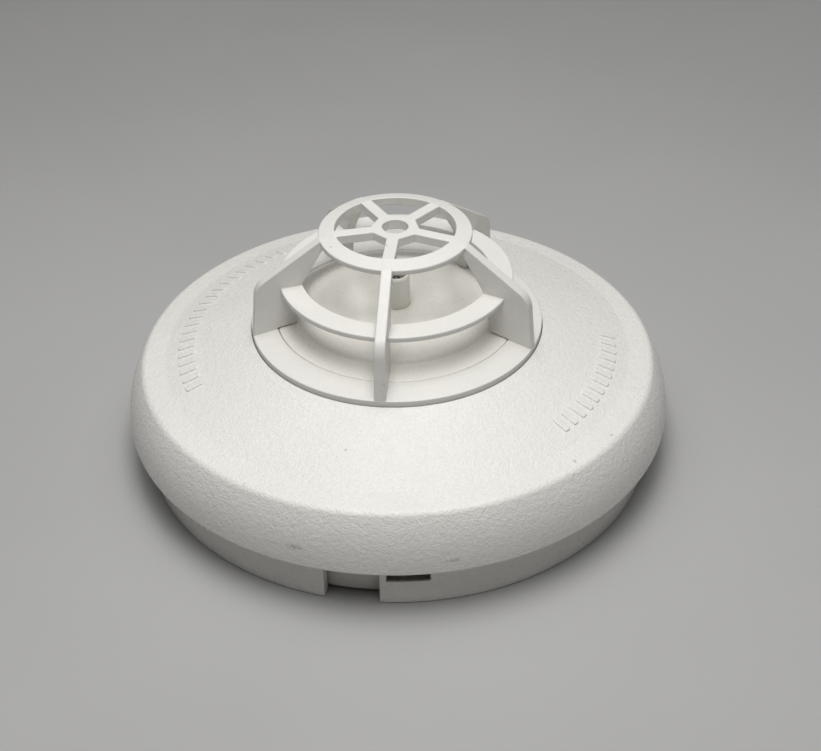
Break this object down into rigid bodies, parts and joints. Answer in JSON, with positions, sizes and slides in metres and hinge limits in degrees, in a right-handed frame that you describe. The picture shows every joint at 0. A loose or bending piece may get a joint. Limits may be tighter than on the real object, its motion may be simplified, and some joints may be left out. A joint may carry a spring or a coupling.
{
  "type": "heat detector head",
  "caption": "Round plug-in heat detector head: domed cover, finned open cage over a probe tube, bayonet mounting skirt, circuit board and sprung contacts inside.",
  "frame": {"origin": "centre of the mounting skirt's foot, on the plane the head stands on", "axes": "+Z along the head's axis from the skirt to the cage; -Y towards the first cage fin"},
  "size_m": [0.124, 0.124, 0.0553],
  "materials": {
    "cover_plastic": "fine spark-eroded grain, matt",
    "cage_plastic": "smooth satin moulding",
    "floor_plastic": "smooth satin moulding",
    "chassis_plastic": "matt moulding",
    "seal_rubber": "soft ring",
    "bead_epoxy": "epoxy bead",
    "wire_steel": "tinned wire",
    "screw_steel": "zinc plated",
    "contact_brass": "bright rolled strip",
    "board_laminate": "solder mask",
    "chip_resin": "moulded resin",
    "can_aluminium": "drawn can",
    "varistor_coat": "dipped coating",
    "reed_glass": "drawn glass",
    "label_film": "blank film"
  },
  "bodies": {
    "head": {"cage": "cage_plastic", "cage_seal": "seal_rubber", "sensor_floor": "floor_plastic", "probe_tube": "floor_plastic", "thermistor_bead": "bead_epoxy", "thermistor_lead_1": "wire_steel", "thermistor_lead_2": "wire_steel", "mount_skirt": "cover_plastic", "chassis": "chassis_plastic", "circuit_board": "board_laminate", "microcontroller": "chip_resin", "capacitor": "can_aluminium", "varistor": "varistor_coat", "reed_switch": "reed_glass", "reed_lead_1": "wire_steel", "reed_lead_2": "wire_steel", "back_label": "label_film", "ring_screw_1": "screw_steel", "board_screw_1": "screw_steel", "ring_screw_2": "screw_steel", "board_screw_2": "screw_steel", "ring_screw_3": "screw_steel", "board_screw_3": "screw_steel", "contact_rivet_1": "contact_brass", "contact_rivet_2": "contact_brass", "contact_rivet_3": "contact_brass", "contact_rivet_4": "contact_brass"},
    "cover": {"outer_cover": "cover_plastic"},
    "blade_1": {"contact_blade_1": "contact_brass"},
    "blade_2": {"contact_blade_2": "contact_brass"},
    "blade_3": {"contact_blade_3": "contact_brass"},
    "blade_4": {"contact_blade_4": "contact_brass"}
  },
  "joints": [
    {"name": "cover_lift", "type": "slide", "parent": "head", "child": "cover", "axis": [0, 0, 1], "range_m": [0, 0.045]},
    {"name": "contact_flex_1", "type": "hinge", "parent": "head", "child": "blade_1", "pos_m": [0.03671, 0.00983, 0.00725], "axis": [0.9659, 0.2588, 0], "range_deg": [0, 5], "stiffness_Nm_per_rad": 0.24},
    {"name": "contact_flex_2", "type": "hinge", "parent": "head", "child": "blade_2", "pos_m": [-0.00983, 0.03671, 0.00725], "axis": [-0.2588, 0.9659, 0], "range_deg": [0, 5], "stiffness_Nm_per_rad": 0.24},
    {"name": "contact_flex_3", "type": "hinge", "parent": "head", "child": "blade_3", "pos_m": [-0.03671, -0.00983, 0.00725], "axis": [-0.9659, -0.2588, 0], "range_deg": [0, 5], "stiffness_Nm_per_rad": 0.24},
    {"name": "contact_flex_4", "type": "hinge", "parent": "head", "child": "blade_4", "pos_m": [0.00983, -0.03671, 0.00725], "axis": [0.2588, -0.9659, 0], "range_deg": [0, 5], "stiffness_Nm_per_rad": 0.24}
  ]
}
